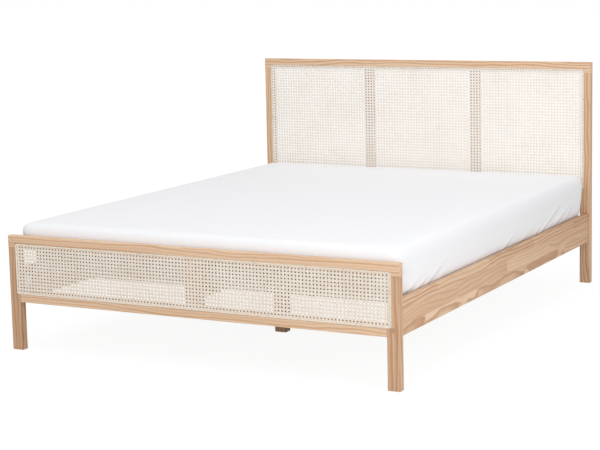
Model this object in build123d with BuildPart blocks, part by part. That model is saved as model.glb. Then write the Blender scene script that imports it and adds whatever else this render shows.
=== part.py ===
from build123d import *
import math
import os

os.makedirs("parts", exist_ok=True)

# A double bed of solid softwood: two framed ends filled with cane webbing, two side rails,
# a slatted base on ledgers and a centre beam, and a mattress in a fitted sheet.
# All lengths are in millimetres. The origin lies on the floor under the middle of the bed,
# +Y points to the headboard, +X to the right as seen from the foot, +Z up.

# Mattress, which sets the plan of the whole bed
mattress_width = 1600.0
mattress_length = 2000.0
mattress_side_gap = 2.0  # to each side rail
mattress_end_gap = 15.0  # to each end frame
mattress_recess = 18.0  # how far the slats lie below the top of the side rails
mattress_corner = 70.0  # radius of its corners in plan
corner_chords = 8  # flats that follow each corner's quarter circle
mattress_tuck = 13.0  # how far its lower edge draws in
mattress_waist = 1.0  # how far the sides draw in between the rails
mattress_bulge = 9.5  # how far they stand out above the rails
mattress_shoulder = 2.0  # how far they draw in where the edge roll of the top begins
mattress_roll = 24.0  # width of the edge roll
mattress_soft_edge = 130.0  # where the edge's slope gives way to the flat crown
mattress_base = 22.0  # height of the lower edge's curve
mattress_widest = 138.0  # height of the widest place
mattress_body = 178.0  # height of the shoulder
mattress_thickness = 192.0  # at the middle of the crown
sheet_thickness = 1.0
sheet_gap = 0.3  # air between the mattress and its sheet
hem_width = 90.0  # width of the sheet tucked under the mattress

# Heights above the floor
head_height = 1000.0
foot_height = 450.0
rail_bottom = 190.0  # underside of the side rails and of both bottom cross rails
rail_height = 130.0
head_rail_bottom = 400.0  # underside of the rail below the headboard's cane

# Timber sections
member_face = 48.0  # width of posts and end rails, seen from the foot
member_depth = 30.0  # their thickness along the bed
rail_thickness = 22.0
rail_inset = 6.0  # how far the side rails stand back from the posts' outer faces
head_stile_width = 50.0
head_stile_distance = 270.0  # middle of the bed to the middle of each headboard stile
foot_stile_width = 72.0
arris = 1.0  # eased long edges
foot_arris = 1.5  # eased edge round the foot of each post and leg

# Mortise and tenon joints of the end frames
tenon_thickness = 12.0
tenon_length = 20.0
tenon_shoulder = 10.0  # on each side of a tenon's width
tenon_clearance = 0.2
mortise_spare = 1.0  # room for glue at the bottom of a mortise

# Cane webbing in its rebate, held by a reed spline
reveal = 30.0  # timber left showing beside the cane
rebate_depth = 6.0
cane_thickness = 1.8
cane_clearance = 0.5  # from the webbing's edge to the rebate's wall
mesh_pitch = 61.0  # one opening of the simplified weave to the next
mesh_opening = 38.0  # across the flats
spline_width = 6.0
spline_thickness = 3.4
mitre_gap = 0.2

# Slatted base
slat_count = 14
slat_width = 70.0
slat_thickness = 12.0
slat_end_space = 70.0  # end frame to the first slat
slat_side_gap = 3.0
ledger_width = 20.0
ledger_height = 20.0
ledger_end_gap = 5.0  # from the corner bracket to the ledger
beam_width = 50.0
beam_height = 27.0
leg_width = 50.0
leg_depth = 38.0
leg_distance = 371.0  # middle of the bed to the middle of each centre leg
tape_width = 30.0
tape_thickness = 0.8
tape_distance = 440.0  # middle of the bed to the middle of each tape

# Steel brackets and fasteners
bracket_length = 60.0
bracket_height = 58.0
bracket_thickness = 2.5
bracket_drop = 4.0  # below the level of the slats' underside
bracket_bend = 2.0
bolt_radius = 3.0
bolt_head_radius = 6.0
bolt_head_height = 3.5
bolt_head_flats = 6
bolt_bite = 18.0  # depth of a bolt's hole in the post
bolt_spare = 1.0  # room left at the end of that hole
bolt_edge = 16.0  # from a bracket's lower or upper edge to its bolts
bolt_side = 9.0  # from the post's inner edge to the bolts
bolt_slack = 0.2  # added to a radius for a bolt's hole
pin_sides = 8  # flats that stand for a small round pin or hole
hanger_thickness = 2.0
hanger_seat = 40.0
hanger_lip = 16.0  # height of the back plate below the seat
hanger_cheek = 22.0  # height of the cheeks beside the beam
hanger_gap = 0.3  # beside and behind the beam
leg_bolt_radius = 4.0
leg_bolt_in_leg = 45.0
leg_bolt_in_beam = 20.0
dowel_radius = 4.0
dowel_in_post = 18.0
dowel_in_rail = 24.0
dowel_edge = 30.0  # from a side rail's lower and upper edges to its dowels
dowel_slack = 0.1  # added to the radius for a dowel's hole
dowel_spare = 1.0  # added to the depth of a dowel's hole

# Plan of the bed, worked out from the mattress
rail_inner = mattress_width / 2 + mattress_side_gap
rail_outer = rail_inner + rail_thickness
half_width = rail_outer + rail_inset
post_inner = half_width - member_face
post_middle = half_width - member_face / 2
half_rail = mattress_length / 2 + mattress_end_gap
half_length = half_rail + member_depth
rail_middle = (rail_inner + rail_outer) / 2

# Levels
rail_top = rail_bottom + rail_height
slat_top = rail_top - mattress_recess
slat_bottom = slat_top - slat_thickness
beam_bottom = slat_bottom - beam_height
bracket_top = slat_bottom + slat_thickness - bracket_drop
bracket_bottom = bracket_top - bracket_height
tenon_middle = (rebate_depth + member_depth) / 2  # depth of every joint behind the front face
cane_half_width = half_width - reveal
cane_top_inset = member_face - reveal

# Each end: where its front face lies, its height, the underside of the rail below its cane,
# and the way that leads from its inner face into the timber (+1 towards the foot)
ends = {
    "foot": (-half_length, foot_height, rail_bottom, 1),
    "head": (half_rail, head_height, head_rail_bottom, -1),
}
sides = {"left": -1, "right": 1}


def across(y):
    """A plane across the bed, drawn as seen from the foot; it extrudes towards the foot."""
    return Plane(origin=(0, y, 0), x_dir=(1, 0, 0), z_dir=(0, -1, 0))


def along(x):
    """A plane along the bed, drawn as seen from the right; it extrudes to the right."""
    return Plane(origin=(x, 0, 0), x_dir=(0, 1, 0), z_dir=(1, 0, 0))


def block(plane, middle, width, height, grow=0.0):
    """A rectangle on a plane: the outline of a tenon, or of its mortise when it is grown."""
    with BuildSketch(plane) as outline:
        with Locations(middle):
            Rectangle(width + 2 * grow, height + 2 * grow)
    return outline.sketch


def pins(plane, points, radius, flats=pin_sides):
    """Equal pins on a plane, for dowels, bolts, their heads and their holes."""
    with BuildSketch(plane) as outline:
        with Locations(*points):
            RegularPolygon(radius, flats)
    return outline.sketch


def cane_seat(front, low, high):
    """The outline of the rebate that the cane panel lies in."""
    return block(across(front), (0, (low + high) / 2), 2 * cane_half_width, high - low)


def cane_heights(height, rail_low):
    """Lower and upper edge of an end's cane."""
    return rail_low + reveal, height - reveal


# Joints between members of one end frame: post into top rail, rail into post, stile into rail
def post_joint(front, height, sign, grow=0.0):
    level = height - member_face
    place = (sign * post_middle, front + tenon_middle)
    return block(Plane.XY.offset(level), place, member_face - 2 * tenon_shoulder, tenon_thickness, grow)


def rail_joint(front, low, sign, grow=0.0):
    place = (front + tenon_middle, low + member_face / 2)
    return block(along(sign * post_inner), place, tenon_thickness, member_face - 2 * tenon_shoulder, grow)


def stile_joint(front, level, x, width, grow=0.0):
    place = (x, front + tenon_middle)
    return block(Plane.XY.offset(level), place, width - 2 * tenon_shoulder, tenon_thickness, grow)


mortise_depth = tenon_length + mortise_spare

# Cross rails that tenon into the posts of each end
cross_rails = {"foot": [rail_bottom], "head": [head_rail_bottom, rail_bottom]}
# Stiles of each end: name, middle, width, depth, lower and upper end
stile_depth = member_depth - rebate_depth
stiles = {
    "foot": [("foot_stile", 0.0, foot_stile_width, stile_depth,
              rail_bottom + member_face, foot_height - member_face)],
    "head": [("head_stile_left", -head_stile_distance, head_stile_width, stile_depth,
              head_rail_bottom + member_face, head_height - member_face),
             ("head_stile_right", head_stile_distance, head_stile_width, stile_depth,
              head_rail_bottom + member_face, head_height - member_face),
             ("head_support_stile", 0.0, foot_stile_width, member_depth,
              rail_bottom + member_face, head_rail_bottom)],
}

# Heights of the dowels and bolts at each corner
dowel_heights = (rail_bottom + dowel_edge, rail_top - dowel_edge)
bolt_heights = (bracket_bottom + bolt_edge, bracket_top - bolt_edge)
bolt_x = post_inner + bolt_side

# Posts: tenoned at the top, mortised for the cross rails, rebated for the cane
for end, (front, height, rail_low, way) in ends.items():
    inner = front + member_depth if way > 0 else front
    cane_low, cane_high = cane_heights(height, rail_low)
    for side, sign in sides.items():
        with BuildPart() as post:
            extrude(block(Plane.XY, (sign * post_middle, front + member_depth / 2),
                          member_face, member_depth), amount=height - member_face)
            chamfer(post.edges().filter_by(Axis.Z), length=arris)
            chamfer(post.faces().sort_by(Axis.Z)[0].edges(), length=foot_arris)
            extrude(post_joint(front, height, sign), amount=tenon_length)
            for low in cross_rails[end]:
                extrude(rail_joint(front, low, sign, tenon_clearance),
                        amount=sign * mortise_depth, mode=Mode.SUBTRACT)
            extrude(cane_seat(front, cane_low, cane_high), amount=-rebate_depth, mode=Mode.SUBTRACT)
            dowel_places = [(sign * rail_middle, z) for z in dowel_heights]
            extrude(pins(across(inner), dowel_places, dowel_radius + dowel_slack),
                    amount=way * (dowel_in_post + dowel_spare), mode=Mode.SUBTRACT)
            bolt_places = [(sign * bolt_x, z) for z in bolt_heights]
            extrude(pins(across(inner), bolt_places, bolt_radius + bolt_slack),
                    amount=way * bolt_bite, mode=Mode.SUBTRACT)
        post.part.label = f"{end}_post_{side}"
        export_step(post.part, f"parts/{end}_post_{side}.step")

# Top rails run the full width over the posts, with the end grain showing
for end, (front, height, rail_low, way) in ends.items():
    cane_low, cane_high = cane_heights(height, rail_low)
    with BuildPart() as top_rail:
        extrude(block(across(front), (0, height - member_face / 2), 2 * half_width, member_face),
                amount=-member_depth)
        chamfer(top_rail.edges().filter_by(Axis.X), length=arris)
        for sign in sides.values():
            extrude(post_joint(front, height, sign, tenon_clearance),
                    amount=mortise_depth, mode=Mode.SUBTRACT)
        for name, x, width, depth, low, high in stiles[end]:
            if high == height - member_face:
                extrude(stile_joint(front, high, x, width, tenon_clearance),
                        amount=mortise_depth, mode=Mode.SUBTRACT)
        extrude(cane_seat(front, cane_low, cane_high), amount=-rebate_depth, mode=Mode.SUBTRACT)
    top_rail.part.label = f"{end}_top_rail"
    export_step(top_rail.part, f"parts/{end}_top_rail.step")

# Cross rails between the posts; the upper one of each end carries the cane's lower edge
rail_names = {("foot", rail_bottom): "foot_bottom_rail", ("head", head_rail_bottom): "head_lower_rail",
              ("head", rail_bottom): "head_cross_rail"}
for (end, low), node in rail_names.items():
    front, height, rail_low, way = ends[end]
    cane_low, cane_high = cane_heights(height, rail_low)
    with BuildPart() as cross_rail:
        extrude(block(across(front), (0, low + member_face / 2), 2 * post_inner, member_face),
                amount=-member_depth)
        chamfer(cross_rail.edges().filter_by(Axis.X), length=arris)
        for sign in sides.values():
            extrude(rail_joint(front, low, sign), amount=sign * tenon_length)
        for name, x, width, depth, stile_low, stile_high in stiles[end]:
            if stile_low == low + member_face:
                extrude(stile_joint(front, stile_low, x, width, tenon_clearance),
                        amount=-mortise_depth, mode=Mode.SUBTRACT)
            if stile_high == low:
                extrude(stile_joint(front, stile_high, x, width, tenon_clearance),
                        amount=mortise_depth, mode=Mode.SUBTRACT)
        extrude(cane_seat(front, cane_low, cane_high), amount=-rebate_depth, mode=Mode.SUBTRACT)
    cross_rail.part.label = node
    export_step(cross_rail.part, f"parts/{node}.step")

# Stiles: behind the cane, or the full depth where they only carry the centre beam
for end, (front, height, rail_low, way) in ends.items():
    for node, x, width, depth, low, high in stiles[end]:
        back = front + member_depth
        with BuildPart() as stile:
            extrude(block(across(back - depth), (x, (low + high) / 2), width, high - low), amount=-depth)
            chamfer(stile.edges().filter_by(Axis.Z), length=arris)
            extrude(stile_joint(front, high, x, width), amount=tenon_length)
            extrude(stile_joint(front, low, x, width), amount=-tenon_length)
        stile.part.label = node
        export_step(stile.part, f"parts/{node}.step")

# Cane webbing: one sheet with a simplified grid of eight-sided openings, as the six-way weave
# leaves them between its paired strands and its diagonals
for end, (front, height, rail_low, way) in ends.items():
    cane_low, cane_high = cane_heights(height, rail_low)
    sheet_width = 2 * (cane_half_width - cane_clearance)
    sheet_height = cane_high - cane_low - 2 * cane_clearance
    columns = math.floor((sheet_width - 2 * spline_width) / mesh_pitch)
    rows = math.floor((sheet_height - 2 * spline_width) / mesh_pitch)
    with BuildPart() as cane_panel:
        with BuildSketch(across(front + rebate_depth - cane_thickness)):
            with Locations((0, (cane_low + cane_high) / 2)):
                Rectangle(sheet_width, sheet_height)
                with GridLocations(mesh_pitch, mesh_pitch, columns, rows):
                    RegularPolygon(mesh_opening / 2, 8, major_radius=False, rotation=360 / 16,
                                   mode=Mode.SUBTRACT)
        extrude(amount=-cane_thickness)
    cane_panel.part.label = f"{end}_cane_panel"
    export_step(cane_panel.part, f"parts/{end}_cane_panel.step")
    print(end, "cane openings", columns * rows)

    # Reed spline: four mitred strips that press the webbing's edge into the rebate
    with BuildPart() as cane_spline:
        with BuildSketch(across(front + rebate_depth - cane_thickness - spline_thickness)):
            with Locations((0, (cane_low + cane_high) / 2)):
                Rectangle(sheet_width, sheet_height)
                Rectangle(sheet_width - 2 * spline_width, sheet_height - 2 * spline_width,
                          mode=Mode.SUBTRACT)
            for corner_x in (-1, 1):
                for corner_z in (-1, 1):
                    middle_x = corner_x * (sheet_width - spline_width) / 2
                    middle_z = (cane_low + cane_high) / 2 + corner_z * (sheet_height - spline_width) / 2
                    with Locations((middle_x, middle_z)):
                        Rectangle(2 * spline_width, mitre_gap, rotation=45 * corner_x * corner_z,
                                  mode=Mode.SUBTRACT)
        extrude(amount=-spline_thickness)
    cane_spline.part.label = f"{end}_cane_spline"
    export_step(cane_spline.part, f"parts/{end}_cane_spline.step")

# Side rails, drilled for dowels at both ends, and the ledgers glued along their inner faces
ledger_reach = half_rail - bracket_length - ledger_end_gap
for side, sign in sides.items():
    with BuildPart() as side_rail:
        extrude(block(across(-half_rail), (sign * rail_middle, (rail_bottom + rail_top) / 2),
                      rail_thickness, rail_height), amount=-2 * half_rail)
        chamfer(side_rail.edges().filter_by(Axis.Y), length=arris)
        dowel_places = [(sign * rail_middle, z) for z in dowel_heights]
        for e in (-1, 1):
            extrude(pins(across(e * half_rail), dowel_places, dowel_radius + dowel_slack),
                    amount=e * (dowel_in_rail + dowel_spare), mode=Mode.SUBTRACT)
    side_rail.part.label = f"side_rail_{side}"
    export_step(side_rail.part, f"parts/side_rail_{side}.step")

    with BuildPart() as ledger:
        extrude(block(along(sign * (rail_inner - ledger_width)), (0, slat_bottom - ledger_height / 2),
                      2 * ledger_reach, ledger_height), amount=sign * ledger_width)
        chamfer(ledger.edges().filter_by(Axis.Y), length=arris)
    ledger.part.label = f"slat_ledger_{side}"
    export_step(ledger.part, f"parts/slat_ledger_{side}.step")

# Corner brackets, bent from plate: the short leg is bolted to the post, the long one is
# screwed to the side rail
for end, (front, height, rail_low, way) in ends.items():
    face = -way * half_rail
    for side, sign in sides.items():
        with BuildPart() as bracket:
            with BuildSketch(Plane.XY.offset(bracket_bottom)):
                with Locations((sign * (post_inner + rail_inner) / 2, face + way * bracket_thickness / 2)):
                    Rectangle(rail_inner - post_inner, bracket_thickness)
                with Locations((sign * (rail_inner - bracket_thickness / 2), face + way * bracket_length / 2)):
                    Rectangle(bracket_thickness, bracket_length)
            extrude(amount=bracket_height)
            inside_bend = (sign * (rail_inner - bracket_thickness), face + way * bracket_thickness,
                           (bracket_bottom + bracket_top) / 2)
            fillet(bracket.edges().filter_by(Axis.Z).sort_by_distance(inside_bend)[0], radius=bracket_bend)
            bolt_places = [(sign * bolt_x, z) for z in bolt_heights]
            extrude(pins(across(face), bolt_places, bolt_radius + bolt_slack),
                    amount=-way * bracket_thickness, mode=Mode.SUBTRACT)
        bracket.part.label = f"corner_bracket_{end}_{side}"
        export_step(bracket.part, f"parts/corner_bracket_{end}_{side}.step")

# Centre beam with a steel hanger at each end and two legs
beam_half = half_rail - hanger_thickness - hanger_gap
with BuildPart() as centre_beam:
    extrude(block(across(-beam_half), (0, slat_bottom - beam_height / 2), beam_width, beam_height),
            amount=-2 * beam_half)
    chamfer(centre_beam.edges().filter_by(Axis.Y), length=arris)
    leg_places = [(0, e * leg_distance) for e in (-1, 1)]
    extrude(pins(Plane.XY.offset(beam_bottom), leg_places, leg_bolt_radius + bolt_slack),
            amount=leg_bolt_in_beam, mode=Mode.SUBTRACT)
centre_beam.part.label = "centre_beam"
export_step(centre_beam.part, "parts/centre_beam.step")

for end, (front, height, rail_low, way) in ends.items():
    face = -way * half_rail
    cheek_span = beam_width + 2 * (hanger_gap + hanger_thickness)
    seat_bottom = beam_bottom - hanger_thickness
    back_height = hanger_lip + hanger_thickness + hanger_cheek
    with BuildPart() as hanger:
        extrude(block(across(face), (0, seat_bottom - hanger_lip + back_height / 2), cheek_span, back_height),
                amount=-way * hanger_thickness)
        extrude(block(across(face), (0, seat_bottom + (hanger_thickness + hanger_cheek) / 2), cheek_span,
                      hanger_thickness + hanger_cheek), amount=-way * hanger_seat)
        extrude(block(across(face + way * hanger_thickness), (0, beam_bottom + hanger_cheek / 2),
                      beam_width + 2 * hanger_gap, hanger_cheek), amount=-way * hanger_seat,
                mode=Mode.SUBTRACT)
    hanger.part.label = f"beam_hanger_{end}"
    export_step(hanger.part, f"parts/beam_hanger_{end}.step")

for end, sign in (("foot", -1), ("head", 1)):
    with BuildPart() as centre_leg:
        extrude(block(Plane.XY, (0, sign * leg_distance), leg_width, leg_depth), amount=beam_bottom)
        chamfer(centre_leg.edges().filter_by(Axis.Z), length=arris)
        chamfer(centre_leg.faces().sort_by(Axis.Z)[0].edges(), length=foot_arris)
        extrude(pins(Plane.XY.offset(beam_bottom), [(0, sign * leg_distance)], leg_bolt_radius + bolt_slack),
                amount=-leg_bolt_in_leg, mode=Mode.SUBTRACT)
    centre_leg.part.label = f"centre_leg_{end}"
    export_step(centre_leg.part, f"parts/centre_leg_{end}.step")

# Slats on the ledgers and the beam, kept apart by two tapes stapled under them
slat_half = rail_inner - slat_side_gap
first_slat = half_rail - slat_end_space - slat_width / 2
slat_pitch = 2 * first_slat / (slat_count - 1)
for i in range(slat_count):
    y = -first_slat + i * slat_pitch
    with BuildPart() as slat:
        extrude(block(Plane.XY.offset(slat_bottom), (0, y), 2 * slat_half, slat_width), amount=slat_thickness)
        chamfer(slat.edges().filter_by(Axis.X), length=arris)
    slat.part.label = f"slat_{i + 1:02d}"
    export_step(slat.part, f"parts/slat_{i + 1:02d}.step")

for side, sign in sides.items():
    with BuildPart() as tape:
        extrude(block(Plane.XY.offset(slat_bottom), (sign * tape_distance, 0), tape_width,
                      2 * first_slat + slat_width), amount=-tape_thickness)
    tape.part.label = f"slat_tape_{side}"
    export_step(tape.part, f"parts/slat_tape_{side}.step")

# Fasteners, each kind in one node
with BuildPart() as dowels:
    for way in (-1, 1):
        places = [(s * rail_middle, z) for s in (-1, 1) for z in dowel_heights]
        extrude(pins(across(-way * (half_rail + dowel_in_post)), places, dowel_radius),
                amount=-way * (dowel_in_post + dowel_in_rail))
dowels.part.label = "rail_dowels"
export_step(dowels.part, "parts/rail_dowels.step")

with BuildPart() as bolts:
    for way in (-1, 1):
        places = [(s * bolt_x, z) for s in (-1, 1) for z in bolt_heights]
        seat = -way * (half_rail - bracket_thickness)
        extrude(pins(across(seat), places, bolt_head_radius, bolt_head_flats), amount=-way * bolt_head_height)
        extrude(pins(across(seat), places, bolt_radius), amount=way * (bracket_thickness + bolt_bite - bolt_spare))
bolts.part.label = "bracket_bolts"
export_step(bolts.part, "parts/bracket_bolts.step")

with BuildPart() as leg_bolts:
    places = [(0, e * leg_distance) for e in (-1, 1)]
    extrude(pins(Plane.XY.offset(beam_bottom - leg_bolt_in_leg), places, leg_bolt_radius),
            amount=leg_bolt_in_leg + leg_bolt_in_beam)
leg_bolts.part.label = "leg_bolts"
export_step(leg_bolts.part, "parts/leg_bolts.step")

# Mattress: how far its side stands out from the nominal size, and the height of that place.
# It draws in at the lower edge, bulges above the rails, rolls over the top edge and crowns.
mattress_crown = mattress_thickness - mattress_body
side_profile = [
    (-mattress_tuck, 0.0),
    (-mattress_waist, mattress_base),
    (mattress_bulge, mattress_widest),
    (-mattress_shoulder, mattress_body),
    (-mattress_shoulder - mattress_roll, mattress_body + mattress_crown / 2),
    (-mattress_soft_edge, mattress_body + mattress_crown * 3 / 4),
    (-mattress_width * 3 / 8, mattress_thickness),
]
mattress_bottom = slat_top + sheet_thickness + sheet_gap
least_corner = mattress_corner / 8


def grown_profile(grow):
    """The side profile moved outwards by an even distance."""
    points = []
    for i, (out, up) in enumerate(side_profile):
        first = i == 0
        last = i == len(side_profile) - 1
        before = (1.0, 0.0) if first else (out - side_profile[i - 1][0], up - side_profile[i - 1][1])
        after = (-1.0, 0.0) if last else (side_profile[i + 1][0] - out, side_profile[i + 1][1] - up)
        n1 = (before[1] / math.hypot(*before), -before[0] / math.hypot(*before))
        n2 = (after[1] / math.hypot(*after), -after[0] / math.hypot(*after))
        scale = grow / (1 + n1[0] * n2[0] + n1[1] * n2[1])
        points.append((out + scale * (n1[0] + n2[0]), mattress_bottom + up + scale * (n1[1] + n2[1])))
    return points


def plan_outline(out):
    """Corners of the mattress in plan, moved outwards by an even distance, right side first."""
    radius = max(mattress_corner + out, least_corner)
    turns = [math.radians(90 / corner_chords * i) for i in range(corner_chords + 1)]
    quarter = [(mattress_width / 2 + out - radius + radius * math.cos(turn),
                mattress_length / 2 + out - radius + radius * math.sin(turn)) for turn in turns]
    head_half = quarter + [(-x, y) for x, y in reversed(quarter)]
    return head_half + [(-x, -y) for x, y in head_half]


def mattress_form(grow):
    """A ruled loft through the outlines at each point of the profile, with true planes for sides."""
    with BuildPart() as form:
        for out, z in grown_profile(grow):
            with BuildSketch(Plane.XY.offset(z)):
                Polygon(*plan_outline(out), align=None)
        loft(ruled=True)
    return Solid(Shell([Face(side.outer_wire()) for side in form.faces()]))


with BuildPart() as mattress:
    add(mattress_form(0.0))
mattress.part.label = "mattress"
export_step(mattress.part, "parts/mattress.step")

# Fitted sheet: a skin over the top and the sides, tucked under the mattress by its hem
with BuildPart() as fitted_sheet:
    add(mattress_form(sheet_gap + sheet_thickness))
    add(mattress_form(sheet_gap), mode=Mode.SUBTRACT)
    with BuildSketch(Plane.XY.offset(slat_top)):
        Polygon(*plan_outline(-hem_width), align=None)
    extrude(amount=sheet_thickness + sheet_gap, mode=Mode.SUBTRACT)
fitted_sheet.part.label = "fitted_sheet"
export_step(fitted_sheet.part, "parts/fitted_sheet.step")
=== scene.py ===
import math

import bpy
from mathutils import Matrix, Vector


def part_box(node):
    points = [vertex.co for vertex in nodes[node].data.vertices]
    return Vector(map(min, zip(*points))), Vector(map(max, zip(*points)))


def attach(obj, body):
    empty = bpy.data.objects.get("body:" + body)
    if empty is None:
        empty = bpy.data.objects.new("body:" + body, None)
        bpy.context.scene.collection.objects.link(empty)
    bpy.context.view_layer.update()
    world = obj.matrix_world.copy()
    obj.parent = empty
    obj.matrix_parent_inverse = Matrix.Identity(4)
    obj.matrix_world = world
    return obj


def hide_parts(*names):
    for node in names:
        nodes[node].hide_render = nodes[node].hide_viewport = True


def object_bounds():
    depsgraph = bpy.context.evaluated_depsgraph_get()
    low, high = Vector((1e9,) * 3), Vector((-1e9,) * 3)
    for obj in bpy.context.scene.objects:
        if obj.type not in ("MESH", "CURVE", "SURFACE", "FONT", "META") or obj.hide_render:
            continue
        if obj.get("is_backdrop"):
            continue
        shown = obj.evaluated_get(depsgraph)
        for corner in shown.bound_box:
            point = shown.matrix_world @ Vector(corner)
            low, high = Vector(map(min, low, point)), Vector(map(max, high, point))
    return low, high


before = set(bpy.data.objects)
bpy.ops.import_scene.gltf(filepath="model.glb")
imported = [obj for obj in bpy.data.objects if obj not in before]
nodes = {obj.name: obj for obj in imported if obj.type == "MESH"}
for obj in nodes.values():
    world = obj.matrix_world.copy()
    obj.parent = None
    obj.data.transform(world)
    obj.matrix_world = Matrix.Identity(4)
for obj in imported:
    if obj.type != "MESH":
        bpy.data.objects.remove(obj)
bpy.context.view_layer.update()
print("packed bed loaded:", len(nodes), "nodes")

# Camera, light and floor
camera = {
    "place": (3.1653, -6.0956, 1.4960),
    "turn": 27.4371,      # degrees towards -X
    "tilt": -8.484,
    "roll": -1.164,
    "lens": 99.53,
    "filmWidth": 36,
    "shift": (-0.0378, -0.0374),
    "farEnd": 200,
}

cameraData = bpy.data.cameras.new("photoCamera")
cameraData.lens = camera["lens"]
cameraData.sensor_width = camera["filmWidth"]
cameraData.shift_x, cameraData.shift_y = camera["shift"]
cameraData.clip_end = camera["farEnd"]
photoCamera = bpy.data.objects.new("photoCamera", cameraData)
bpy.context.scene.collection.objects.link(photoCamera)
photoCamera.matrix_world = (
    Matrix.Translation(camera["place"])
    @ Matrix.Rotation(math.radians(camera["turn"]), 4, "Z")
    @ Matrix.Rotation(math.radians(90 + camera["tilt"]), 4, "X")
    @ Matrix.Rotation(math.radians(camera["roll"]), 4, "Z")
)
bpy.context.scene.camera = photoCamera
bpy.context.scene.view_settings.view_transform = "Standard"

studio = {
    "worldStrength": 0.42,
    "lights": {    # place, what it looks at, size, power
        "overheadLight": ((0, -0.6, 4.6), (0, 0, 0), 7.0, 132),
        "frontLight": ((0.6, -6.5, 2.6), (0, 0, 0.4), 5.0, 78),
        "sideLight": ((4.0, -2.4, 1.9), (0.8, -0.6, 0.3), 2.2, 58),
    },
    "floorSize": 60,
    "floorTone": (0.9, 0.9, 0.9, 1),
    "floorWhite": 1.06,    # strength of the plain white that the camera sees of it
    "floorGlow": 0.87,    # share of that white near the bed, the rest is the floor with its shadows
    "floorFade": (1.9, 3.4),    # distances from the middle between which that share becomes the whole
}


def areaLight(name, place, target, size, power):
    data = bpy.data.lights.new(name, "AREA")
    data.shape = "SQUARE"
    data.size = size
    data.energy = power
    light = bpy.data.objects.new(name, data)
    bpy.context.scene.collection.objects.link(light)
    aim = (Vector(target) - Vector(place)).to_track_quat("-Z", "Y")
    light.matrix_world = Matrix.Translation(place) @ aim.to_matrix().to_4x4()


for name, (place, target, size, power) in studio["lights"].items():
    areaLight(name, place, target, size, power)


# Node helpers: a value given as a socket is linked, anything else is set on the input itself
def addNode(tree, kind, inputs=None, **settings):
    node = tree.nodes.new("ShaderNode" + kind)
    for key, value in settings.items():
        setattr(node, key, value)
    for key, value in (inputs or {}).items():
        if isinstance(value, bpy.types.NodeSocket):
            tree.links.new(value, node.inputs[key])
        else:
            node.inputs[key].default_value = value
    return node


def calc(tree, operation, *values):
    return addNode(tree, "Math", dict(enumerate(values)), operation=operation).outputs[0]


def vectorCalc(tree, operation, *values):
    node = addNode(tree, "VectorMath", dict(enumerate(values)), operation=operation)
    return node.outputs["Value" if operation == "LENGTH" else "Vector"]


def separate(tree, vector):
    return addNode(tree, "SeparateXYZ", {0: vector}).outputs


def mapRange(tree, value, start, end, low=0.0, high=1.0, kind="LINEAR"):
    ends = {"Value": value, "From Min": start, "From Max": end, "To Min": low, "To Max": high}
    return addNode(tree, "MapRange", ends, interpolation_type=kind).outputs[0]


def colourRamp(tree, factor, stops):
    ramp = addNode(tree, "ValToRGB", {"Fac": factor})
    elements = ramp.color_ramp.elements
    while len(elements) < len(stops):
        elements.new(0.5)
    for element, (place, colour) in zip(elements, stops):
        element.position = place
        element.color = (*colour, 1)
    return ramp.outputs["Color"]


def newMaterial(name, roughness=0.5, **sockets):
    material = bpy.data.materials.new(name)
    material.use_nodes = True
    tree = material.node_tree
    shader = tree.nodes["Principled BSDF"]
    shader.inputs["Roughness"].default_value = roughness
    for key, value in sockets.items():
        shader.inputs[key.replace("_", " ")].default_value = value
    return material, tree, shader


def objectCoordinates(tree):
    return addNode(tree, "TexCoord").outputs["Object"]


def stretched(tree, vector, scale):
    return addNode(tree, "Mapping", {"Vector": vector, "Scale": scale}).outputs[0]


def noise(tree, vector, scale, detail=2.0, roughness=0.5, output="Fac"):
    settings = {"Vector": vector, "Scale": scale, "Detail": detail, "Roughness": roughness}
    return addNode(tree, "TexNoise", settings).outputs[output]


def bump(tree, shader, height, strength, distance):
    relief = addNode(tree, "Bump", {"Height": height, "Strength": strength, "Distance": distance})
    tree.links.new(relief.outputs["Normal"], shader.inputs["Normal"])


def speckled(name, style, **sockets):
    # a finish of two tones mixed by a fine noise, which gives it its relief too
    material, tree, shader = newMaterial(name, style["roughness"], **sockets)
    grain = noise(tree, objectCoordinates(tree), *style["grain"])
    tree.links.new(colourRamp(tree, grain, style["tones"]), shader.inputs["Base Color"])
    bump(tree, shader, grain, *style["relief"])
    return material


def seenWhite(tree):
    rays = addNode(tree, "LightPath").outputs
    return calc(tree, "MAXIMUM", rays["Is Camera Ray"],
                calc(tree, "MAXIMUM", rays["Is Glossy Ray"], rays["Is Transmission Ray"]))


# The world and the floor look white to the camera and in reflections, and light the bed plainly
world = bpy.data.worlds.new("studioWorld")
bpy.context.scene.world = world
world.use_nodes = True
worldTree = world.node_tree
backdrop = worldTree.nodes["Background"]
backdrop.inputs["Color"].default_value = (1, 1, 1, 1)
worldLevel = mapRange(worldTree, seenWhite(worldTree), 0, 1, studio["worldStrength"], 1.0)
worldTree.links.new(worldLevel, backdrop.inputs["Strength"])

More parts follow.
